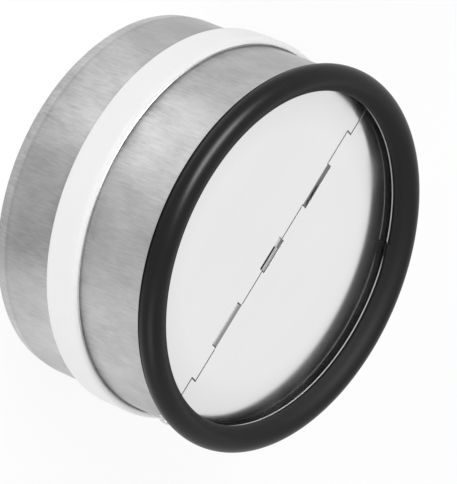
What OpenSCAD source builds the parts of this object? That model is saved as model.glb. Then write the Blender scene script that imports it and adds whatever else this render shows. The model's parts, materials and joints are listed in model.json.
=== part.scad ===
// Round backdraft damper with two sprung butterfly blades.
// Sizes are in millimetres. The duct's axis is Z, the bare rear rim stands on z = 0, and the
// rubber ring is at the top. The spindle runs along X, and the blades fold down, away from the ring.

/* [Sleeve] */
// Outside diameter of the sleeve, a sliding fit inside a round duct
sleeve_od = 148.8; // [140:0.2:180]
// Length of the sleeve from its rear rim to the edge inside the rubber
sleeve_len = 80; // [78:0.5:110]
// Thickness of the galvanised sheet
sheet_t = 0.6; // [0.5:0.1:0.8]
// Length of the lead-in at the rear rim
lead_len = 3.5; // [2:0.5:6]
// How far the lead-in draws the rear rim inwards
lead_draw = 0.5; // [0.2:0.1:0.8]

/* [Rib and white band] */
// Height of the middle of the rib above the rear rim
rib_z = 36.5; // [24:0.5:44]
// Width of the rib, foot to foot
rib_w = 14; // [12:0.5:22]
// How far the rib stands out of the sleeve
rib_h = 2.4; // [2.2:0.1:3.5]
// Outside radius of the rib's shoulders
rib_shoulder_r = 1.2; // [1.2:0.1:2]
// Thickness of the white band that covers the rib
band_t = 0.6; // [0.4:0.1:1]
// Play between the band and the rib
band_play = 0.03; // [0.02:0.01:0.1]

/* [Rubber ring] */
// Diameter of the round rubber section
bulb_d = 10.5; // [9:0.1:12]
// How deep the edge of the sleeve sits in the rubber
grip = 5.5; // [4:0.1:7]
// How far the middle of the rubber lies inside the middle of the sheet
ring_inset = 1.5; // [0.6:0.1:1.5]
// Play between the sheet and its slot in the rubber, on each side
slot_play = 0.05; // [0.03:0.01:0.1]
// Width of the butt joint where the two ends of the rubber meet
butt_gap = 0.3; // [0.2:0.1:0.8]
// Place of the butt joint round the ring, from +X towards +Y
butt_angle = 123; // [0:1:359]

/* [Blades] */
// Thickness of the aluminium blades
blade_t = 0.6; // [0.5:0.1:0.8]
// Gap between the rim of the blades and the sleeve
rim_gap = 1.3; // [1:0.1:2.5]
// Gap between the closed blades and the rubber
seat_gap = 0.3; // [0.25:0.05:0.5]
// Width of the line between the two blades
hinge_gap = 0.4; // [0.3:0.1:0.6]
// Distance from the middle of the damper to the near end of a knuckle
knuckle_from = 23.1; // [18:0.1:26]
// Length of a knuckle along the spindle
knuckle_len = 18.7; // [12:0.1:22]
// Angle through which a knuckle is curled round the spindle
knuckle_curl = 275; // [240:5:290]
// Gap between a knuckle and the notch for it in the other blade
notch_gap = 0.25; // [0.2:0.05:0.5]
// Length from the rim of a blade to the near end of its lapping tab
tab_len = 15.3; // [10:0.1:18]
// How far a tab laps past the middle, over the spindle
tab_lap = 2.65; // [2:0.05:3]
// How far the end of a tab stops short of the middle of the rubber
tab_short = 3.3; // [3:0.1:4.5]

/* [Spindle] */
// Diameter of the spindle
spindle_d = 4; // [3.4:0.1:4.5]
// Running clearance round the spindle, on the radius
run_play = 0.05; // [0.03:0.01:0.08]
// Wall of the domed push-on caps round the spindle
cap_wall = 1; // [0.8:0.05:1]
// Height of the caps above the sleeve
cap_h = 2.2; // [1.8:0.1:3]
// Thickness of the middle of a cap's dome
cap_crown = 0.7; // [0.5:0.1:1]
// Play between a cap and the parts that it sits on
cap_play = 0.02; // [0.01:0.01:0.05]

/* [Torsion spring] */
// Diameter of the spring wire
wire_d = 0.6; // [0.4:0.05:0.7]
// Whole turns of the coil
coil_turns = 16; // [10:1:20]
// Gap between neighbouring turns
coil_space = 0.05; // [0.03:0.01:0.1]
// Play between the coil and the spindle, on the radius
coil_play = 0.1; // [0.05:0.01:0.2]
// Length of the two legs
leg_len = 16; // [12:0.5:24]
// Gap between the legs and the backs of the closed blades
leg_gap = 0.1; // [0.05:0.01:0.2]
// Gap between the coil and the edges of its window in the blades
window_gap = 0.1; // [0.08:0.01:0.3]
// Free length of the window beside the coil
window_free = 3.8; // [2:0.1:6]

/* [Hidden] */

round_fn = 180;
small_fn = 64;
past = 1;

// The sleeve, seen in section
sleeve_r = sleeve_od / 2;
bore_r = sleeve_r - sheet_t;
sheet_mid_r = sleeve_r - sheet_t / 2;

// The hollow corners at the rib's feet, which the feet of the band stay clear of
rib_foot_r = 0.6 * (rib_h - rib_shoulder_r);

// The rubber ring: its middle circle, and the height of that circle
bulb_r = bulb_d / 2;
ring_r = sheet_mid_r - ring_inset;
ring_z = sleeve_len - grip + bulb_r;

// The blades close under the rubber, and the spindle lies under their backs
face_z = ring_z - bulb_r - seat_gap;
back_z = face_z - blade_t;
spindle_r = spindle_d / 2;
curl_in_r = spindle_r + run_play;
curl_out_r = curl_in_r + blade_t;
axis_z = face_z - curl_out_r;
blade_r = bore_r - rim_gap;
tab_from = blade_r - tab_len;
tab_end = ring_r - tab_short;

// The spring coil round the spindle, and the window in which it shows
wire_r = wire_d / 2;
coil_r = spindle_r + coil_play + wire_r;
coil_pitch = wire_d + coil_space;
coil_len = coil_turns * coil_pitch;
window_len = coil_len + wire_d + window_free;
window_half = sqrt(pow(coil_r + wire_r + window_gap, 2) - pow(curl_in_r, 2));
coil_to = window_len / 2 - wire_r - coil_play;
coil_from = coil_to - coil_len;

// A leg leaves the bottom of the coil at this slope and just reaches the back of its blade
leg_rise = curl_in_r - leg_gap - wire_r;
leg_slope = asin(leg_rise / norm([leg_len, coil_r])) + atan2(coil_r, leg_len);
turn_steps = 16;
wire_sides = 8;

// Moves what lies along local Z onto the spindle: local X, Y and Z become +Y, +Z and +X
module along_spindle(x) {
    translate([x, 0, axis_z]) rotate([90, 0, 90]) children();
}

// Half section of a rib whose feet stand at radius foot_r and whose crown lies at crown_r
module rib_section(foot_r, crown_r, width, shoulder_r) {
    low = rib_z - width / 2;
    intersection() {
        translate([foot_r, low]) square([crown_r - foot_r, width]);
        union() {
            translate([foot_r, low]) square([crown_r - shoulder_r - foot_r, width]);
            translate([foot_r, low + shoulder_r])
                square([crown_r - foot_r, width - 2 * shoulder_r]);
            for (side = [-1, 1])
                translate([crown_r - shoulder_r, rib_z + side * (width / 2 - shoulder_r)])
                    circle(r = shoulder_r, $fn = small_fn);
        }
    }
}

// Half section of the hollow corners between a wall at radius wall_r and a rib of this width
module rib_corners(wall_r, width, corner_r) {
    for (side = [-1, 1])
        translate([wall_r, rib_z + side * width / 2]) difference() {
            translate([0, side > 0 ? 0 : -corner_r]) square(corner_r);
            translate([corner_r, side * corner_r]) circle(r = corner_r, $fn = small_fn);
        }
}

// Half section of the plain sheet, drawn in at the rear rim
module sheet_section() {
    polygon([[bore_r - lead_draw, 0], [sleeve_r - lead_draw, 0], [sleeve_r, lead_len],
             [sleeve_r, sleeve_len], [bore_r, sleeve_len], [bore_r, lead_len]]);
}

module sleeve() {
    color("silver")
    difference() {
        rotate_extrude($fn = round_fn) difference() {
            union() {
                sheet_section();
                rib_section(bore_r, sleeve_r + rib_h, rib_w, rib_shoulder_r);
                rib_corners(sleeve_r, rib_w, rib_foot_r);
            }
            rib_section(bore_r - past, bore_r + rib_h, rib_w - 2 * sheet_t,
                        rib_shoulder_r - sheet_t);
            rib_corners(bore_r, rib_w - 2 * sheet_t, rib_foot_r + sheet_t);
        }
        along_spindle(-sleeve_r - past)
            cylinder(r = curl_in_r, h = sleeve_od + 2 * past, $fn = small_fn);
    }
}

module white_band() {
    inner_w = rib_w + 2 * band_play;
    color("white")
    rotate_extrude($fn = round_fn) difference() {
        rib_section(sleeve_r + rib_foot_r + band_play, sleeve_r + rib_h + band_play + band_t,
                    inner_w + 2 * band_t, rib_shoulder_r + band_play + band_t);
        rib_section(sleeve_r - past, sleeve_r + rib_h + band_play, inner_w,
                    rib_shoulder_r + band_play);
    }
}

module ring_gasket() {
    slot_w = sheet_t + 2 * slot_play;
    color("dimgray")
    difference() {
        rotate_extrude($fn = round_fn) difference() {
            translate([ring_r, ring_z]) circle(r = bulb_r, $fn = small_fn);
            translate([sheet_mid_r - slot_w / 2, ring_z - bulb_r - past])
                square([slot_w, grip + slot_play + past]);
        }
        rotate([0, 0, butt_angle])
            translate([ring_r - bulb_d, -butt_gap / 2, ring_z - bulb_d])
                cube([2 * bulb_d, butt_gap, 2 * bulb_d]);
    }
}

// Outline of the blade on the +Y side. The two blades are the same part, turned half round.
module blade_outline() {
    difference() {
        intersection() {
            circle(r = blade_r, $fn = round_fn);
            union() {
                translate([-blade_r, hinge_gap / 2]) square([2 * blade_r, blade_r]);
                translate([knuckle_from, 0]) square([knuckle_len, hinge_gap]);
                translate([tab_from, -tab_lap]) square([tab_end - tab_from, tab_lap + hinge_gap]);
            }
        }
        // Notch round the other blade's knuckle
        translate([-knuckle_from - knuckle_len - notch_gap, -past])
            square([knuckle_len + 2 * notch_gap, curl_out_r + notch_gap + past]);
        // Recess beside the other blade's tab
        translate([-blade_r - past, -past])
            square([blade_r + past - tab_from + hinge_gap, tab_lap + hinge_gap + past]);
        // Half of the window in which the spring shows
        translate([-window_len / 2, -past]) square([window_len, window_half + past]);
    }
}

module blade() {
    translate([0, 0, back_z]) linear_extrude(blade_t) blade_outline();
    along_spindle(knuckle_from) rotate([0, 0, 90])
        rotate_extrude(angle = knuckle_curl, $fn = small_fn)
            translate([curl_in_r, 0]) square([blade_t, knuckle_len]);
}

module left_blade() {
    color("gainsboro") rotate([0, 0, 180]) blade();
}

module right_blade() {
    color("gainsboro") blade();
}

module spindle() {
    half_len = sleeve_r + cap_h - cap_crown - cap_play;
    color("gray")
    along_spindle(-half_len) cylinder(r = spindle_r, h = 2 * half_len, $fn = small_fn);
}

// Domed cap pushed on the end of the spindle, with its crown towards local +Z
module spindle_cap() {
    cap_r = spindle_r + cap_wall;
    dome_r = (cap_r * cap_r + cap_wall * cap_wall) / (2 * cap_wall);
    seat = sqrt(pow(sleeve_r, 2) - pow(cap_r, 2));
    difference() {
        intersection() {
            translate([0, 0, seat]) cylinder(r = cap_r, h = sleeve_r + cap_h - seat, $fn = small_fn);
            translate([0, 0, sleeve_r + cap_h - dome_r]) sphere(r = dome_r, $fn = small_fn);
        }
        cylinder(r = spindle_r + cap_play, h = sleeve_r + cap_h - cap_crown, $fn = small_fn);
        rotate([90, 0, 0])
            cylinder(r = sleeve_r + cap_play, h = 2 * sleeve_r, center = true, $fn = round_fn);
    }
}

module left_spindle_cap() {
    color("lightgray") along_spindle(0) mirror([0, 0, 1]) spindle_cap();
}

module right_spindle_cap() {
    color("lightgray") along_spindle(0) spindle_cap();
}

// A place on the wire: how far along the spindle, at which angle round it, and how far out
// along the leg. A leg is straight and meets the coil as a tangent.
function wire_ring(x, angle, out, side) =
    let (radial = [0, cos(angle), sin(angle)],
         tangent = [0, -sin(angle), cos(angle)],
         middle = [x, 0, axis_z] + coil_r * radial + side * out * tangent)
    [for (s = [0 : wire_sides - 1])
        let (a = 360 * s / wire_sides)
        middle + wire_r * (cos(a) * radial + sin(a) * [1, 0, 0])];

module torsion_spring() {
    first = -90 - leg_slope;
    last = -90 + leg_slope + 360 * coil_turns;
    steps = coil_turns * turn_steps;
    rings = concat(
        [wire_ring(coil_from, first, leg_len, -1)],
        [for (i = [0 : steps])
            wire_ring(coil_from + coil_len * i / steps, first + (last - first) * i / steps, 0, 1)],
        [wire_ring(coil_to, last, leg_len, 1)]);
    points = [for (ring = rings) each ring];
    ends = len(rings) - 1;
    color("slategray")
    polyhedron(points = points, faces = concat(
        [[for (s = [wire_sides - 1 : -1 : 0]) s]],
        [for (i = [0 : ends - 1], s = [0 : wire_sides - 1])
            let (next = (s + 1) % wire_sides, a = i * wire_sides, b = a + wire_sides)
            [a + s, a + next, b + next, b + s]],
        [[for (s = [0 : wire_sides - 1]) ends * wire_sides + s]]));
}

sleeve();
white_band();
ring_gasket();
left_blade();
right_blade();
spindle();
left_spindle_cap();
right_spindle_cap();
torsion_spring();
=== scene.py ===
# Round backdraft damper: sheet sleeve, white band, rubber ring, two sprung blades
import json
import math
import bmesh
import bpy
import numpy as np
from mathutils import Matrix, Vector


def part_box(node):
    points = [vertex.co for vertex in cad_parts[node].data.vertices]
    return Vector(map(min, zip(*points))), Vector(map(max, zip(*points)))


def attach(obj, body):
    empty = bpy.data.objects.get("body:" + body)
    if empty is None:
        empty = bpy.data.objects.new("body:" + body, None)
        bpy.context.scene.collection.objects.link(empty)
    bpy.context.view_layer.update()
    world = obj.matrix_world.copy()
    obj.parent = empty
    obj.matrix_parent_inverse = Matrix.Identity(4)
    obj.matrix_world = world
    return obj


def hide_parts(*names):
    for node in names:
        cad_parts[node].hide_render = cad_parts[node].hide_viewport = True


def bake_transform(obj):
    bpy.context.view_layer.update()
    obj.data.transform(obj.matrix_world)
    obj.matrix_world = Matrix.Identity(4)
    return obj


mm = 0.001

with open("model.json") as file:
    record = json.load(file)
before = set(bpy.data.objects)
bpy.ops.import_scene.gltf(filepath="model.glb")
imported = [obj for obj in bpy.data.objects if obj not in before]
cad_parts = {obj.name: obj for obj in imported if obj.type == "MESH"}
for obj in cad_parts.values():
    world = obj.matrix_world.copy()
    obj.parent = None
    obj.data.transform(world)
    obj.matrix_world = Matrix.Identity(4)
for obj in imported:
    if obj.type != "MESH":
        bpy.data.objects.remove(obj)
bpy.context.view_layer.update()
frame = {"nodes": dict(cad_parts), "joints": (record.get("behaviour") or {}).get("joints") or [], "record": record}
nodes = frame["nodes"]
record = frame["record"]
print("frame loaded:", len(nodes), "nodes")


# Sizes that the frame already holds, in metres

def nodeBox(name):
    low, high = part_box(name)
    return np.array(low), np.array(high)


def spigotRadius():
    for mount in record["mounts"]:
        if mount["name"] == "outlet_spigot":
            return mount["dims"]["r_mm"] * mm


ringLow, ringHigh = nodeBox("ring_gasket")
bandLow, bandHigh = nodeBox("white_band")
bladeLow, bladeHigh = nodeBox("right_blade")
spindleLow, spindleHigh = nodeBox("spindle")
capLow, capHigh = nodeBox("right_spindle_cap")
springLow, springHigh = nodeBox("torsion_spring")
sleeveLow, sleeveHigh = nodeBox("sleeve")

axisZ = frame["joints"][0]["pos_m"][2]
sleeveRadius = spigotRadius()
sleeveLength = sleeveHigh[2]
bulbRadius = (ringHigh[2] - ringLow[2]) / 2
ringCentreZ = (ringHigh[2] + ringLow[2]) / 2
ringRadius = ringHigh[0] - bulbRadius
spindleRadius = (spindleHigh[1] - spindleLow[1]) / 2


# Meshes from arrays of points

def meshObject(name, points, faces, smooth=True):
    mesh = bpy.data.meshes.new(name)
    mesh.from_pydata(points.reshape(-1, 3).tolist(), [], faces)
    mesh.polygons.foreach_set("use_smooth", np.full(len(mesh.polygons), smooth))
    mesh.update()
    piece = bpy.data.objects.new(name, mesh)
    bpy.context.scene.collection.objects.link(piece)
    return piece


def gridFaces(rows, columns, closeRows, closeColumns):
    # each quad joins a grid point to its right, upper right and upper neighbours
    r, c = np.meshgrid(np.arange(rows if closeRows else rows - 1),
                       np.arange(columns if closeColumns else columns - 1), indexing="ij")
    r2, c2 = (r + 1) % rows, (c + 1) % columns
    corners = [r * columns + c, r2 * columns + c, r2 * columns + c2, r * columns + c2]
    return np.stack(corners, -1).reshape(-1, 4).tolist()


def roundedLine(points, radii, steps=10):
    # a polyline in (r, z) whose inner corners are arcs: each arc touches both of its legs
    # at radius * tan(turn / 2) from the corner
    points = np.array(points, float)
    out = [points[:1]]
    for corner, radius in zip(range(1, len(points) - 1), radii):
        here = points[corner]
        a = points[corner - 1] - here
        b = points[corner + 1] - here
        a, b = a / np.linalg.norm(a), b / np.linalg.norm(b)
        half = math.acos(np.clip(a @ b, -1, 1)) / 2
        reach = radius / math.tan(half)
        middle = here + (a + b) / np.linalg.norm(a + b) * radius / math.sin(half)
        first, last = here + a * reach - middle, here + b * reach - middle
        turn = math.pi - 2 * half
        t = np.linspace(0, 1, steps)[:, None]
        arc = (np.sin((1 - t) * turn) * first + np.sin(t * turn) * last) / math.sin(turn)
        out.append(middle + arc)
    out.append(points[-1:])
    return np.concatenate(out)


def resample(line, spacing):
    # points at even arc length no further apart than spacing, with the corners kept
    lengths = np.linalg.norm(np.diff(line, axis=0), axis=1)
    out = [line[:1]]
    for a, b, length in zip(line[:-1], line[1:], lengths):
        count = max(1, int(math.ceil(length / spacing)))
        t = np.arange(1, count + 1)[:, None] / count
        out.append(a + (b - a) * t)
    return np.concatenate(out)


def sheetSection(midLine, thickness, capSteps=5):
    # a closed outline: the middle line offset by half the thickness along its normal on
    # both sides, with a half circle round each cut edge
    tangent = np.gradient(midLine, axis=0)
    tangent /= np.linalg.norm(tangent, axis=1)[:, None]
    normal = np.stack([tangent[:, 1], -tangent[:, 0]], -1)
    half = thickness / 2
    turn = np.linspace(0, math.pi, capSteps + 2)[1:-1, None]
    endCap = midLine[-1] + half * (np.cos(turn) * normal[-1] + np.sin(turn) * tangent[-1])
    startCap = midLine[0] - half * (np.cos(turn) * normal[0] + np.sin(turn) * tangent[0])
    return np.concatenate([midLine + half * normal, endCap, (midLine - half * normal)[::-1], startCap])


def turned(section, angles):
    # a section in (r, z) turned round the duct's axis
    r, z = section[None, :, 0], section[None, :, 1]
    a = angles[:, None]
    return np.stack([r * np.cos(a), r * np.sin(a), np.broadcast_to(z, (len(angles), len(section)))], -1)


def aroundSpindle(section, segments, side=1):
    # a section in (distance along the spindle, radius) turned round the spindle
    angles = np.linspace(0, 2 * math.pi, segments, endpoint=False)[:, None]
    x, r = section[None, :, 0], section[None, :, 1]
    x = np.broadcast_to(side * x, (segments, len(section)))
    return np.stack([x, r * np.cos(angles), axisZ + r * np.sin(angles)], -1)


def softNoise(angles, seed, waves, size):
    # a closed wavy line: a few sines of whole frequencies with seeded phases, size high
    dice = np.random.default_rng(seed)
    total = np.zeros_like(angles)
    for wave in waves:
        total += np.sin(wave * angles + dice.uniform(0, 2 * math.pi)) / wave ** 0.5
    return size * total / len(waves) ** 0.5


def keepMark(piece, name, values, domain="POINT"):
    # one number for each point or face of the mesh, for its material to read
    mark = piece.data.attributes.new(name, "FLOAT", domain)
    mark.data.foreach_set("value", np.ascontiguousarray(values, dtype=np.float32).ravel())


def faceOutwards(piece):
    mesh = piece.data
    work = bmesh.new()
    work.from_mesh(mesh)
    bmesh.ops.recalc_face_normals(work, faces=work.faces)
    work.to_mesh(mesh)
    work.free()


# Shader graphs written as expressions

class Val:
    # one shader value; arithmetic on it adds Math nodes
    def __init__(self, graph, socket):
        self.graph, self.socket = graph, socket

    def math(self, operation, a, b=0.0, clamp=False):
        return self.graph.add("ShaderNodeMath", {"operation": operation, "use_clamp": clamp}, {0: a, 1: b})

    def __add__(self, other):
        return self.math("ADD", self, other)

    def __radd__(self, other):
        return self.math("ADD", other, self)

    def __sub__(self, other):
        return self.math("SUBTRACT", self, other)

    def __rsub__(self, other):
        return self.math("SUBTRACT", other, self)

    def __mul__(self, other):
        return self.math("MULTIPLY", self, other)

    def __rmul__(self, other):
        return self.math("MULTIPLY", other, self)

    def __pow__(self, other):
        return self.math("POWER", self, other)

    def clamp(self):
        return self.math("ADD", self, 0.0, clamp=True)


class Graph:
    def __init__(self, name, world=None):
        if world is None:
            self.owner = bpy.data.materials.new(name)
        else:
            self.owner = world
        self.owner.use_nodes = True
        self.nodes = self.owner.node_tree.nodes
        self.links = self.owner.node_tree.links
        self.nodes.clear()

    def add(self, kind, settings=None, values=None, output=0):
        node = self.nodes.new(kind)
        for key, value in (settings or {}).items():
            if key == "ramp":
                self.setRamp(node, value)
            else:
                setattr(node, key, value)
        for key, value in (values or {}).items():
            socket = node.inputs[key]
            if isinstance(value, Val):
                self.links.new(value.socket, socket)
            else:
                socket.default_value = value
        return Val(self, node.outputs[output])

    def setRamp(self, node, stops):
        elements = node.color_ramp.elements
        elements[0].position, elements[0].color = stops[0][0], (*([stops[0][1]] * 3), 1)
        elements[-1].position, elements[-1].color = stops[-1][0], (*([stops[-1][1]] * 3), 1)
        for position, level in stops[1:-1]:
            elements.new(position).color = (level, level, level, 1)

    def place(self, stretch=(1, 1, 1)):
        # Object coordinates, stretched
        where = self.add("ShaderNodeTexCoord", output="Object")
        return self.add("ShaderNodeMapping", {}, {"Vector": where, "Scale": stretch})

    def where(self, axis):
        # a point's own X, Y or Z, in metres
        place = self.add("ShaderNodeTexCoord", output="Object")
        return self.add("ShaderNodeSeparateXYZ", {}, {0: place}, output=axis)

    def facing(self, axis):
        # the X, Y or Z of the way the surface faces, seen from the piece itself
        normal = self.add("ShaderNodeTexCoord", output="Normal")
        return self.add("ShaderNodeSeparateXYZ", {}, {0: normal}, output=axis)

    def mark(self, name):
        # a number kept on the mesh itself
        return self.add("ShaderNodeAttribute", {"attribute_name": name}, output="Fac")

    def strip(self, value, start, stop):
        # 0 at start, 1 at stop, clipped outside
        return ((value - start) * (1 / (stop - start))).clamp()

    def noise(self, scale, stretch=(1, 1, 1), detail=3.0, roughness=0.5):
        return self.add("ShaderNodeTexNoise", {}, {"Vector": self.place(stretch), "Scale": scale,
                        "Detail": detail, "Roughness": roughness}, output=0)

    def ramp(self, value, stops):
        return self.add("ShaderNodeValToRGB", {"ramp": stops}, {0: value})

    def mixColour(self, share, a, b):
        return self.add("ShaderNodeMix", {"data_type": "RGBA"}, {0: share, 6: a, 7: b}, output=2)

    def bump(self, height, distance, strength=1.0):
        return self.add("ShaderNodeBump", {}, {"Height": height, "Distance": distance, "Strength": strength})

    def shader(self, **sockets):
        names = {"colour": "Base Color", "roughness": "Roughness", "metallic": "Metallic",
                 "normal": "Normal", "specular": "Specular IOR Level", "coat": "Coat Weight",
                 "coatRoughness": "Coat Roughness", "anisotropic": "Anisotropic"}
        values = {names[key]: value for key, value in sockets.items()}
        return self.add("ShaderNodeBsdfPrincipled", {}, values)

    def finish(self, **sockets):
        self.out(self.shader(**sockets))
        return self.owner

    def out(self, shader):
        node = self.nodes.new("ShaderNodeOutputMaterial")
        self.links.new(shader.socket, node.inputs["Surface"])


def grey(level):
    return (level, level, level, 1)


# Finishes

galvanisedLook = {
    "dark": 0.20, "light": 0.63,          # tones of the zinc coat
    "roughness": 0.40,
    "leadTop": 5 * mm,                    # how high the painted highlight strip at the rear rim reaches
    "bandShadeReach": 6 * mm, "bandShadeDepth": 0.2,  # the painted shade strip on the sleeve beside the rib
}


def galvanisedMetal():
    graph = Graph("galvanisedSheet")
    look = galvanisedLook
    height = graph.where("Z")
    streaks = graph.noise(1300, stretch=(1, 1, 0.14), detail=3, roughness=0.6)
    scratches = graph.ramp(graph.noise(1700, stretch=(1, 1, 0.04), detail=2), [(0.62, 0), (0.74, 1)])
    broad = graph.noise(17, stretch=(1, 1, 0.5), detail=2)
    blotch = graph.noise(95, stretch=(1, 1, 0.6), detail=4, roughness=0.6)
    flecks = graph.noise(900, stretch=(1, 1, 0.2), detail=3)
    rim = graph.strip(height + (blotch - 0.5) * 0.8 * mm, look["leadTop"] - 0.9 * mm, look["leadTop"])
    near = 1 - rim
    edgeLine = rim * (1 - graph.strip(height, look["leadTop"], look["leadTop"] + 1.6 * mm))
    scuff = graph.ramp(flecks, [(0.48, 0), (0.7, 1)]) * near
    # painted shade on the sleeve beside the band: a strip in front of it and a half-strength strip behind it
    front = bandHigh[2]
    mark = 1 - graph.strip(height + (blotch - 0.5) * 3 * mm, front, front + look["bandShadeReach"])
    mark = mark * graph.strip(height, front - 1 * mm, front)
    rearBandShade = graph.strip(height + (blotch - 0.5) * 2 * mm, bandLow[2] - 2.5 * mm, bandLow[2])
    rearBandShade = rearBandShade * (1 - graph.strip(height, bandLow[2], bandLow[2] + 1 * mm))
    # near the rear rim the tone is lifted as a painted highlight; the scuffs there are wear
    tone = (0.48 + (streaks - 0.5) * 0.5 + (broad - 0.5) * 0.7 + (blotch - 0.5) * 0.55 + scratches * 0.12
            + scuff * 0.12 + near * 0.1 - edgeLine * 0.1
            - (mark + rearBandShade * 0.5) * look["bandShadeDepth"]).clamp()
    colour = graph.mixColour(tone, grey(look["dark"]), grey(look["light"]))
    rough = look["roughness"] + (streaks - 0.5) * 0.2 + (broad - 0.5) * 0.16 - scuff * 0.08
    return graph.finish(colour=colour, metallic=0.94, roughness=rough,
                        normal=graph.bump(streaks * 0.7 + blotch * 0.6 + scuff * 0.6, 0.02 * mm))


def whiteBandPlastic():
    graph = Graph("whiteBand")
    cloud = graph.noise(40, detail=2)
    grain = graph.noise(1800, detail=2)
    colour = graph.mixColour(cloud, grey(0.80), grey(0.84))
    return graph.finish(colour=colour, metallic=0.0, roughness=0.6 + (cloud - 0.5) * 0.1,
                        specular=0.05, normal=graph.bump(grain, 0.004 * mm))


def blackRubber():
    graph = Graph("blackRubber")
    haze = graph.noise(45, detail=3)
    grain = graph.noise(2600, detail=2)
    dust = graph.ramp(graph.noise(700, detail=4, roughness=0.7), [(0.55, 0), (0.8, 1)])
    # the 'lip' mark is a painted highlight along the fin on the ring's inner edge, pale grey in the colour
    lip = graph.mark("lip")
    tone = (haze * 0.45 + dust * 0.35).clamp()
    colour = graph.mixColour(tone, grey(0.003), grey(0.012))
    colour = graph.mixColour((lip * (0.9 + dust * 0.3)).clamp(), colour, grey(0.45))
    across, beside = graph.where("X"), graph.where("Y")
    inward = 1 - graph.strip(across * across + beside * beside,
                             (ringRadius - 2.5 * mm) ** 2, (ringRadius - 0.5 * mm) ** 2)
    # painted shade: the rubber is mixed with near black where it faces downwards
    paintedUnderShade = 1 - graph.strip(graph.facing("Z"), -0.45, -0.2)
    rubberShader = graph.shader(colour=colour, metallic=0.0,
                                roughness=0.29 + haze * 0.1 + dust * 0.1 + inward * 0.3,
                                specular=0.18, normal=graph.bump(grain, 0.01 * mm, 0.7))
    shade = graph.add("ShaderNodeBsdfDiffuse", {}, {"Color": grey(0.004)})
    graph.out(graph.add("ShaderNodeMixShader", {}, {0: paintedUnderShade * 0.9, 1: rubberShader, 2: shade}))
    return graph.owner


def bladeAluminium():
    # bright rolled faces, cut edges darkened as painted shade along the hinge gap, and a knuckle that bending made
    # dull, its colour darkened as painted shade
    graph = Graph("bladeAluminium")
    rolling = graph.noise(1500, stretch=(0.02, 1, 1), detail=3)
    cloud = graph.noise(14, detail=2)
    smear = graph.noise(55, stretch=(0.5, 1, 1), detail=3)
    flat = graph.facing("Z")
    # the cut edges get painted shade so that the hinge gap reads dark; the blade's outer edge is darkened with
    # them
    cut = 1 - graph.strip(flat * flat, 0.8, 0.97)
    curl = graph.mark("curl")
    dull = 1 - (1 - cut) * (1 - curl)
    along = graph.where("X")
    window = 1 - graph.strip(along * along, (7.5 * mm) ** 2, (7.7 * mm) ** 2)
    beyond = graph.strip(along * along, (21.8 * mm) ** 2, (22.2 * mm) ** 2)
    knuckle = beyond * (1 - graph.strip(along * along, (42.6 * mm) ** 2, (43 * mm) ** 2))
    beside = graph.where("Y")
    # near the ring: painted shade in the colour, and real smudges in the roughness
    rimShadeAndWear = graph.strip(along * along + beside * beside, (50 * mm) ** 2, (68 * mm) ** 2)
    colour = graph.mixColour(rolling * 0.3 + cloud * 0.4 + smear * 0.3, grey(0.77), grey(0.85))
    colour = graph.mixColour(rimShadeAndWear * 0.5, colour, grey(0.62))
    # painted shade on the curled knuckle; its dullness is in roughness and metallic
    paintedKnuckleShade = graph.mixColour(rolling, grey(0.19), grey(0.28))
    # painted shade on the edges: darkest by the knuckle, lighter in the spring window
    edgeShade = graph.mixColour(window, graph.mixColour(knuckle, grey(0.2), grey(0.4)), grey(0.5))
    colour = graph.mixColour(curl, graph.mixColour(cut, colour, edgeShade), paintedKnuckleShade)
    smudge = graph.ramp(graph.noise(45, stretch=(0.7, 1, 1), detail=1.5), [(0.42, 0), (0.72, 1)])
    rough = 0.1 + rolling * 0.04 + smear * 0.06 + dull * 0.35 + smudge * rimShadeAndWear * 0.16
    return graph.finish(colour=colour, metallic=0.965 - dull * 0.62, roughness=rough,
                        normal=graph.bump(rolling * dull + smear * 0.2, 0.0015 * mm, 0.4))


def spindleSteel():
    # drawn rod, darkened all along as painted shade, and painted lighter in the spring window where light reaches
    # it
    graph = Graph("spindleSteel")
    draw = graph.noise(2200, stretch=(0.02, 1, 1), detail=3)
    along = graph.where("X")
    paintedWindowLight = 1 - graph.strip(along * along, (7.2 * mm) ** 2, (8.2 * mm) ** 2)
    colour = graph.mixColour(draw, grey(0.20), grey(0.34))
    colour = graph.mixColour(paintedWindowLight, colour, graph.mixColour(draw, grey(0.5), grey(0.62)))
    return graph.finish(colour=colour, metallic=1.0, roughness=0.34 + (draw - 0.5) * 0.14,
                        normal=graph.bump(draw, 0.004 * mm))


def springWire():
    # bright wire on top of the coil, and painted shade, near black, lower down and along the left blade
    graph = Graph("springSteel")
    draw = graph.noise(900, detail=3)
    across = graph.where("Y")
    paintedLitPart = graph.strip(graph.where("Z"), axisZ + 1.9 * mm, axisZ + 2.3 * mm)
    paintedLitPart = paintedLitPart * graph.strip(across, -0.95 * mm, -0.6 * mm)
    legs = graph.strip(across * across, (3 * mm) ** 2, (3.6 * mm) ** 2)
    bright = 1 - (1 - paintedLitPart) * (1 - legs)
    colour = graph.mixColour(draw, grey(0.5), grey(0.72))
    colour = graph.mixColour(bright, grey(0.03), colour)
    return graph.finish(colour=colour, metallic=0.9, roughness=0.3 + draw * 0.12,
                        normal=graph.bump(draw, 0.004 * mm))


def capPlating():
    graph = Graph("capPlating")
    haze = graph.noise(900, detail=3)
    colour = graph.mixColour(haze, grey(0.50), grey(0.64))
    return graph.finish(colour=colour, metallic=1.0, roughness=0.16 + haze * 0.1,
                        normal=graph.bump(haze, 0.003 * mm))


def dress(piece, material, body=None, replaced=()):
    piece.data.materials.clear()
    piece.data.materials.append(material)
    if body:
        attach(piece, body)
    if replaced:
        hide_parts(*replaced)


zinc = galvanisedMetal()
white = whiteBandPlastic()
rubber = blackRubber()
aluminium = bladeAluminium()
rodSteel = spindleSteel()
springSteel = springWire()
plating = capPlating()
print("finishes made")


# Sleeve: one rolled and welded sheet with a pressed rib

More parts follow.
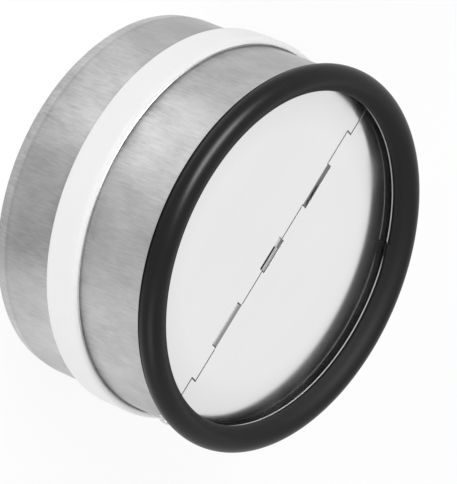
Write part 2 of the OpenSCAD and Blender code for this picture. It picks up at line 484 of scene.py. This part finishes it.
sleeve = {
    "sheet": 0.6 * mm,
    "leadLength": 3.5 * mm, "leadDraw": 0.5 * mm,
    "footRadius": 1.02 * mm, "shoulderRadius": 0.9 * mm,
    "weldAngle": 104, "weldDepth": 0.14 * mm, "weldWidth": 0.9 * mm, "weldRipple": 0.7 * mm,
    "spacing": 1.6 * mm, "segments": 320,
}
bandSheet = {"thickness": 0.6 * mm, "play": 0.03 * mm, "shoulderRadius": 1.53 * mm, "footGap": 0.75 * mm}


def sleeveAngles():
    # even steps, with finer ones across the weld
    even = np.linspace(0, 2 * math.pi, sleeve["segments"], endpoint=False)
    weld = math.radians(sleeve["weldAngle"])
    fine = weld + np.linspace(-3, 3, 25) * sleeve["weldWidth"] / sleeveRadius
    return np.unique(np.round(np.concatenate([even, fine]), 6))


def makeSleeve():
    t = sleeve["sheet"]
    middle = sleeveRadius - t / 2
    crown = bandHigh[0] - bandSheet["thickness"] - bandSheet["play"] - t / 2
    side = bandSheet["thickness"] + bandSheet["play"] + t / 2
    low, high = bandLow[2] + side, bandHigh[2] - side
    line = roundedLine(
        [(middle - sleeve["leadDraw"], t / 2), (middle, sleeve["leadLength"]), (middle, low), (crown, low),
         (crown, high), (middle, high), (middle, sleeveLength - t / 2)],
        [12 * mm, sleeve["footRadius"], sleeve["shoulderRadius"], sleeve["shoulderRadius"],
         sleeve["footRadius"]])
    section = sheetSection(resample(line, sleeve["spacing"]), t)
    angles = sleeveAngles()
    points = turned(section, angles)
    # the weld sinks into both faces and ripples along the duct
    arc = (angles - math.radians(sleeve["weldAngle"])) * sleeveRadius
    groove = np.exp(-(arc / sleeve["weldWidth"] * 2) ** 2)[:, None]
    ripple = 1 + 0.35 * np.sin(section[None, :, 1] * 2 * math.pi / sleeve["weldRipple"] / 3)
    sink = 1 - groove * ripple * sleeve["weldDepth"] / sleeveRadius
    points[..., 0] *= sink
    points[..., 1] *= sink
    piece = meshObject("sleeveSheet", points, gridFaces(*points.shape[:2], True, True))
    faceOutwards(piece)
    dress(piece, zinc, "housing", ["sleeve"])


def makeBand():
    t = bandSheet["thickness"]
    foot = sleeveRadius + bandSheet["footGap"] + t / 2
    crown = bandHigh[0] - t / 2
    low, high = bandLow[2] + t / 2, bandHigh[2] - t / 2
    line = roundedLine([(foot, low), (crown, low), (crown, high), (foot, high)],
                       [bandSheet["shoulderRadius"]] * 2, 12)
    section = sheetSection(resample(line, 1.5 * mm), t)
    points = turned(section, np.linspace(0, 2 * math.pi, 320, endpoint=False))
    piece = meshObject("bandStrip", points, gridFaces(*points.shape[:2], True, True))
    faceOutwards(piece)
    dress(piece, white, "housing", ["white_band"])


# Rubber ring: a moulded length bent round and butted

ring = {
    "slot": 0.7 * mm, "slotDepth": 5.55 * mm, "lip": 0.35 * mm,
    "buttAngle": 123, "buttGap": 0.02 * mm, "endRound": 0.9 * mm, "endDepth": 0.45 * mm,
    "slack": 0.12 * mm, "bulge": 0.7 * mm, "bulgeWidth": 8 * mm,
    "finAngle": 222, "finHeight": 0.45 * mm, "finRise": 1.4, "finFall": 5,   # a moulding line, degrees
    "segments": 420,
}


def ringSection():
    # a circle cut open at the back by the slot for the sheet, with rounded lips
    sheetMiddle = sleeveRadius - sleeve["sheet"] / 2 - ringRadius
    half = ring["slot"] / 2
    outer, inner = sheetMiddle + half, sheetMiddle - half
    outerZ = -math.sqrt(bulbRadius ** 2 - outer ** 2)
    innerZ = -math.sqrt(bulbRadius ** 2 - inner ** 2)
    start, stop = math.atan2(outerZ, outer), math.atan2(innerZ, inner) + 2 * math.pi
    ease = ring["lip"] / bulbRadius
    fin = math.radians(ring["finAngle"])
    fine = np.array([-2.0, -1.4, -1.1, -0.8, -0.5, -0.25, 0, 0.4, 1, 2, 3, 4, 5])
    coarse = np.linspace(start + ease, stop - ease, 72)
    coarse = coarse[np.abs(coarse - fin) > math.radians(5.5)]
    a = np.unique(np.concatenate([coarse, fin + np.radians(fine)]))
    # a low fin runs along the tube: it rises steeply on its upper side, which carries a painted highlight,
    # and falls away as a parabola on its lower side
    past = np.degrees(a - fin)
    rise = np.clip(past / ring["finRise"] + 1, 0, 1)
    out = bulbRadius + ring["finHeight"] * rise * np.clip(1 - past / ring["finFall"], 0, 1).clip(0, 1) ** 2
    out = np.where(past < 0, bulbRadius + ring["finHeight"] * rise, out)
    # painted highlight on the fin's upper flank
    finGlint = ((past > -1.5) & (past < 0.2)).astype(float)
    # the ends are rounded over only on the inner side of the tube
    open = np.clip(-np.cos(a - 0.3 * math.pi), 0, 1) ** 4
    shell = np.stack([out * np.cos(a), out * np.sin(a)], -1)
    top = -bulbRadius + ring["slotDepth"]
    lip = ring["lip"]
    slot = np.array([(inner, innerZ + lip), (inner, top), (outer, top), (outer, outerZ + lip)])
    return (np.concatenate([shell, slot]), np.concatenate([finGlint, np.zeros(4)]),
            np.concatenate([open, np.zeros(4)]))


def makeRing():
    section, finGlintMark, openShare = ringSection()
    gap = ring["buttGap"] / ringRadius
    joint = math.radians(ring["buttAngle"])
    inside = np.linspace(0, 1, ring["segments"])
    ends = np.array([0.0, 0.15, 0.4, 0.7, 1.0]) * ring["endRound"] / ringRadius
    along = gap / 2 + (2 * math.pi - gap) * inside
    along = np.unique(np.concatenate([along, gap / 2 + ends, 2 * math.pi - gap / 2 - ends]))
    # each end is rounded over: the section shrinks by a quarter circle
    fromEnd = np.minimum(along - gap / 2, 2 * math.pi - gap / 2 - along) * ringRadius
    depth = np.clip(1 - fromEnd / ring["endRound"], 0, 1)
    shrink = 1 - ((1 - np.sqrt(1 - depth ** 2)) * ring["endDepth"] / bulbRadius)[:, None] * openShare
    angles = along + joint
    # the rubber isn't quite round, and one end is squeezed inwards at the joint
    wander = softNoise(angles, 5, [2, 3, 5, 8], ring["slack"])
    near = np.exp(-(((2 * math.pi - along) * ringRadius) / ring["bulgeWidth"]) ** 2)
    r = ringRadius + section[None, :, 0] * shrink * (1 + (wander / bulbRadius * 0.5)[:, None])
    r = r - ring["bulge"] * near[:, None] * openShare
    z = ringCentreZ + section[None, :, 1] * shrink
    z = np.minimum(z, ringHigh[2])
    a = angles[:, None]
    points = np.stack([r * np.cos(a), r * np.sin(a), z + 0 * a], -1)
    rows, columns = points.shape[:2]
    faces = gridFaces(rows, columns, False, True)
    faces.append(list(range(columns)))
    faces.append(list(range(rows * columns - columns, rows * columns))[::-1])
    piece = meshObject("rubberRing", points, faces)
    keepMark(piece, "lip", finGlintMark * np.clip(1 - near * 1.6, 0, 1)[:, None])
    faceOutwards(piece)
    piece.data.set_sharp_from_angle(angle=math.radians(60))
    dress(piece, rubber, "housing", ["ring_gasket"])


# Blades: each a pressed sheet with its curled knuckle, from the frame's own solid

bladeEdge = {"bevel": 0.2 * mm, "sharp": 25, "curlReach": 50 * mm, "curlTop": 1.9 * mm,
             "flatArea": 60 * mm ** 2}


def makeBlade(node, name, body):
    work = bmesh.new()
    work.from_mesh(nodes[node].data)
    bmesh.ops.remove_doubles(work, verts=work.verts, dist=0.001 * mm)
    bmesh.ops.dissolve_limit(work, angle_limit=math.radians(0.4), verts=work.verts, edges=work.edges)
    mesh = bpy.data.meshes.new(name)
    work.to_mesh(mesh)
    work.free()
    piece = bpy.data.objects.new(name, mesh)
    bpy.context.scene.collection.objects.link(piece)
    # the curl is the faces past the hinge line, seen from the blade's own side, or low down
    areas = np.zeros(len(mesh.polygons))
    mesh.polygons.foreach_get("area", areas)
    centres = np.zeros(len(mesh.polygons) * 3)
    mesh.polygons.foreach_get("center", centres)
    x, y, z = centres.reshape(-1, 3).T
    side = -1 if body == "left_blade_body" else 1
    flat = areas > bladeEdge["flatArea"]
    past = (y * side < 0.05 * mm) | (z < axisZ + bladeEdge["curlTop"])
    keepMark(piece, "curl", past & ~flat & (np.abs(x) < bladeEdge["curlReach"]), "FACE")
    bevel = piece.modifiers.new("softEdges", "BEVEL")
    bevel.width, bevel.segments = bladeEdge["bevel"], 2
    bevel.limit_method, bevel.angle_limit = "ANGLE", math.radians(bladeEdge["sharp"])
    bevel.harden_normals = True
    mesh.polygons.foreach_set("use_smooth", ~flat)
    mesh.set_sharp_from_angle(angle=math.radians(bladeEdge["sharp"]))
    dress(piece, aluminium, body, [node])


# Spindle and its push-on caps

cap = {"flange": 0.75 * mm, "dome": 2.55 * mm, "wall": 0.5 * mm}


def makeSpindle():
    half, chamfer = spindleHigh[0], 0.35 * mm
    r = spindleRadius
    x = np.concatenate([[-half], np.linspace(-half + chamfer, half - chamfer, 60), [half]])
    radius = np.concatenate([[r - chamfer], np.full(60, r), [r - chamfer]])
    section = np.stack([x, radius], -1)
    points = aroundSpindle(section, 48)
    rows, columns = points.shape[:2]
    faces = gridFaces(rows, columns, True, False)
    faces.append([row * columns for row in range(rows)])
    faces.append([row * columns + columns - 1 for row in range(rows)][::-1])
    piece = meshObject("spindleRod", points, faces)
    faceOutwards(piece)
    piece.data.set_sharp_from_angle(angle=math.radians(40))
    dress(piece, rodSteel, "housing", ["spindle"])


def makeCap(side, name, node):
    # half section: bore, flange on the sleeve, step, dome to a closed crown
    seat, top = sleeveRadius + 0.02 * mm, capHigh[0]
    outer = (capHigh[1] - capLow[1]) / 2
    bore = spindleRadius + 0.02 * mm
    bottom = capLow[0] - 0.02 * mm
    shoulder = seat + cap["flange"]
    dome = roundedLine([(bottom, bore), (bottom, outer), (shoulder, outer), (shoulder, cap["dome"]),
                        (top, cap["dome"] * 0.86), (top, 0.02 * mm)],
                       [0.02 * mm, 0.3 * mm, 0.08 * mm, 1.05 * mm], 8)
    inner = np.array([(top - 0.6 * mm, 0.02 * mm), (top - 0.6 * mm, bore)])
    section = np.concatenate([dome, inner])
    points = aroundSpindle(section, 56, side)
    piece = meshObject(name, points, gridFaces(*points.shape[:2], True, True))
    faceOutwards(piece)
    piece.data.set_sharp_from_angle(angle=math.radians(50))
    dress(piece, plating, "housing", [node])


# Torsion spring: one wire, in two halves

spring = {"wire": 0.6 * mm, "play": 0.1 * mm, "space": 0.05 * mm, "turns": 16, "leg": 16 * mm,
          "legGap": 0.1 * mm, "run": 0.05 * mm, "sides": 12, "turnSteps": 28}


def springLine():
    # the wire's middle line: leg, coil, leg. The coil is a helix round the spindle, and each
    # leg is its tangent, sloped so that its end just reaches the back of its blade.
    radius = spindleRadius + spring["play"] + spring["wire"] / 2
    rise = spindleRadius + spring["run"] - spring["legGap"] - spring["wire"] / 2
    slope = math.asin(rise / math.hypot(spring["leg"], radius)) + math.atan2(radius, spring["leg"])
    first = -math.pi / 2 - slope
    last = -math.pi / 2 + slope + 2 * math.pi * spring["turns"]
    low, high = springLow[0] + spring["wire"] / 2, springHigh[0] - spring["wire"] / 2
    steps = spring["turns"] * spring["turnSteps"]
    angle = np.linspace(first, last, steps)
    x = np.linspace(low, high, steps)
    radial = np.stack([0 * angle, np.cos(angle), np.sin(angle)], -1)
    coil = np.stack([x, 0 * x, 0 * x + axisZ], -1) + radius * radial
    legPart = np.linspace(spring["leg"], 0, 12)[:-1, None]
    firstWay = np.array([0, math.sin(first), -math.cos(first)])
    lastWay = np.array([0, -math.sin(last), math.cos(last)])
    lead = coil[0] + legPart * firstWay
    tail = coil[-1] + legPart[::-1] * lastWay
    line = np.concatenate([lead, coil, tail])
    out = np.concatenate([np.repeat(radial[:1], 11, 0), radial, np.repeat(radial[-1:], 11, 0)])
    return line, out, (low + high) / 2, low, high


def wireMesh(name, line, out, radius):
    # rings of the wire lie in the plane of the outward direction and the spindle's
    a = np.linspace(0, 2 * math.pi, spring["sides"], endpoint=False)[None, :, None]
    sideways = np.array([1.0, 0, 0])
    points = line[:, None] + radius * (np.cos(a) * out[:, None] + np.sin(a) * sideways)
    rows, columns = points.shape[:2]
    faces = gridFaces(rows, columns, False, True)
    faces.append(list(range(columns)))
    faces.append(list(range(rows * columns - columns, rows * columns))[::-1])
    piece = meshObject(name, points, faces)
    faceOutwards(piece)
    piece.data.set_sharp_from_angle(angle=math.radians(50))
    return piece


def makeSpring():
    line, out, middle, low, high = springLine()
    cut = len(line) // 2
    halves = [("springHalfLeft", slice(0, cut + 1), "left_blade_body", low),
              ("springHalfRight", slice(cut, None), "right_blade_body", high)]
    for name, part, body, end in halves:
        piece = wireMesh(name, line[part], out[part], spring["wire"] / 2)
        dress(piece, springSteel, None, ["torsion_spring"])
        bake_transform(piece)


makeSleeve()
makeBand()
print("sleeve and band made")
makeRing()
print("rubber ring made")
makeBlade("left_blade", "leftBladeSheet", "left_blade_body")
makeBlade("right_blade", "rightBladeSheet", "right_blade_body")
print("blades made")
makeSpindle()
makeCap(-1, "leftCap", "left_spindle_cap")
makeCap(1, "rightCap", "right_spindle_cap")
makeSpring()
print("spindle, caps and spring made")


# Stage: pale floor, white surroundings, soft lamps

stage = {"floorSize": 6.0, "floorTone": 0.98, "seenShadow": 0.16, "mirroredShadow": 0.45,
         "worldLight": 0.74,
         # painted pools of light on the floor, and one painted dim patch, that the sleeve mirrors: glow, place,
         # radius and share
         "patches": [(4.0, -45 * mm, -137 * mm, 75 * mm, 0.34), (4.0, 130 * mm, -10 * mm, 90 * mm, 0.09),
                     (0.1, 62 * mm, -100 * mm, 62 * mm, 0.44)]}


def rayMask(graph, kinds):
    # 1 for the ray kinds in the list
    total = graph.add("ShaderNodeLightPath", output=kinds[0])
    for kind in kinds[1:]:
        total = total + graph.add("ShaderNodeLightPath", output=kind)
    return total.clamp()


def makeFloor():
    half = stage["floorSize"] / 2
    corners = np.array([(-half, -half, 0), (half, -half, 0), (half, half, 0), (-half, half, 0)], float)
    floor = meshObject("floor", corners, [[0, 1, 2, 3]], False)
    graph = Graph("paleFloor")
    plain = graph.add("ShaderNodeBsdfDiffuse", {}, {"Color": grey(stage["floorTone"])})
    glow = graph.add("ShaderNodeEmission", {}, {"Color": grey(1), "Strength": 1.0})
    seen = rayMask(graph, ["Is Camera Ray"]) * (1 - stage["seenShadow"])
    mirrored = rayMask(graph, ["Is Glossy Ray", "Is Transmission Ray"]) * (1 - stage["mirroredShadow"])
    mixed = graph.add("ShaderNodeMixShader", {}, {0: seen + mirrored, 1: plain, 2: glow})
    x, y = graph.where("X"), graph.where("Y")
    glossy = rayMask(graph, ["Is Glossy Ray"])
    for strength, placeX, placeY, radius, most in stage["patches"]:
        patch = graph.add("ShaderNodeEmission", {}, {"Color": grey(1), "Strength": strength})
        apart = (x - placeX) * (x - placeX) + (y - placeY) * (y - placeY)
        share = (1 - graph.strip(apart, 0, radius ** 2)) * most * glossy
        mixed = graph.add("ShaderNodeMixShader", {}, {0: share, 1: mixed, 2: patch})
    graph.out(mixed)
    floor.data.materials.append(graph.owner)


def makeWorld():
    world = bpy.data.worlds.new("surroundings")
    bpy.context.scene.world = world
    graph = Graph("surroundings", world)
    seen = rayMask(graph, ["Is Camera Ray", "Is Glossy Ray", "Is Transmission Ray"])
    strength = seen * (1 - stage["worldLight"]) + stage["worldLight"]
    back = graph.add("ShaderNodeBackground", {}, {"Color": grey(1), "Strength": strength})
    node = graph.nodes.new("ShaderNodeOutputWorld")
    graph.links.new(back.socket, node.inputs["Surface"])


def makeLamp(name, azimuth, elevation, distance, wide, tall, power, glossOnly=False):
    data = bpy.data.lights.new(name, "AREA")
    data.shape, data.size, data.size_y, data.energy = "RECTANGLE", wide, tall, power
    lamp = bpy.data.objects.new(name, data)
    a, e = math.radians(azimuth), math.radians(elevation)
    back = Vector((math.sin(a) * math.cos(e), -math.cos(a) * math.cos(e), math.sin(e)))
    lamp.location = Vector((0, 0, sleeveLength / 2)) + back * distance
    lamp.rotation_euler = back.to_track_quat("Z", "Y").to_euler()
    lamp.visible_diffuse = not glossOnly
    bpy.context.scene.collection.objects.link(lamp)


# Camera: the photo's view, turned on its side because the duct's axis lies across the picture

photoView = {
    "azimuth": 14.19, "elevation": 35.926, "roll": 22.859,
    "distance": 1526.7 * mm, "aimUp": -22.17 * mm, "aimRight": 6.38 * mm,
    "focalPixels": 4009.8, "pictureHeight": 484, "pictureWidth": 457,
    "axisPixel": (222.84, 252.59),        # where the lens axis meets the picture
}


def makeCamera():
    v = photoView
    a, e, roll = math.radians(v["azimuth"]), math.radians(v["elevation"]), math.radians(v["roll"])
    back = Vector((math.sin(a) * math.cos(e), -math.cos(a) * math.cos(e), math.sin(e)))
    right = Vector((math.cos(a), math.sin(a), 0))
    up = back.cross(right)
    aim = Vector((0, 0, ringCentreZ))
    eye = aim + back * v["distance"]
    forward = (aim + up * v["aimUp"] + right * v["aimRight"] - eye).normalized()
    # picture right is the upright view's up, and picture up is its left, then both roll
    pictureRight = forward.cross(-right).normalized()
    pictureUp = pictureRight.cross(forward)
    across = pictureRight * math.cos(roll) + pictureUp * math.sin(roll)
    upward = pictureUp * math.cos(roll) - pictureRight * math.sin(roll)
    data = bpy.data.cameras.new("photoCamera")
    data.sensor_width = 36
    data.lens = v["focalPixels"] * 36 / v["pictureHeight"]
    data.shift_x = (v["pictureWidth"] / 2 - v["axisPixel"][0]) / v["pictureHeight"]
    data.shift_y = (v["axisPixel"][1] - v["pictureHeight"] / 2) / v["pictureHeight"]
    data.clip_start, data.clip_end = 0.01, 50
    camera = bpy.data.objects.new("photoCamera", data)
    camera.matrix_world = Matrix.Translation(eye) @ Matrix((across, upward, -forward)).transposed().to_4x4()
    bpy.context.scene.collection.objects.link(camera)
    bpy.context.scene.camera = camera


makeFloor()
makeWorld()
makeLamp("keyLamp", -28, 44, 1.3, 1.0, 0.35, 5)
makeLamp("glossCard", -28, 42, 1.3, 0.9, 0.5, 28, glossOnly=True)
makeLamp("fillLamp", 80, 24, 1.5, 0.8, 0.8, 4)
makeCamera()
bpy.context.scene.view_settings.view_transform = "Standard"
print("stage and camera made")
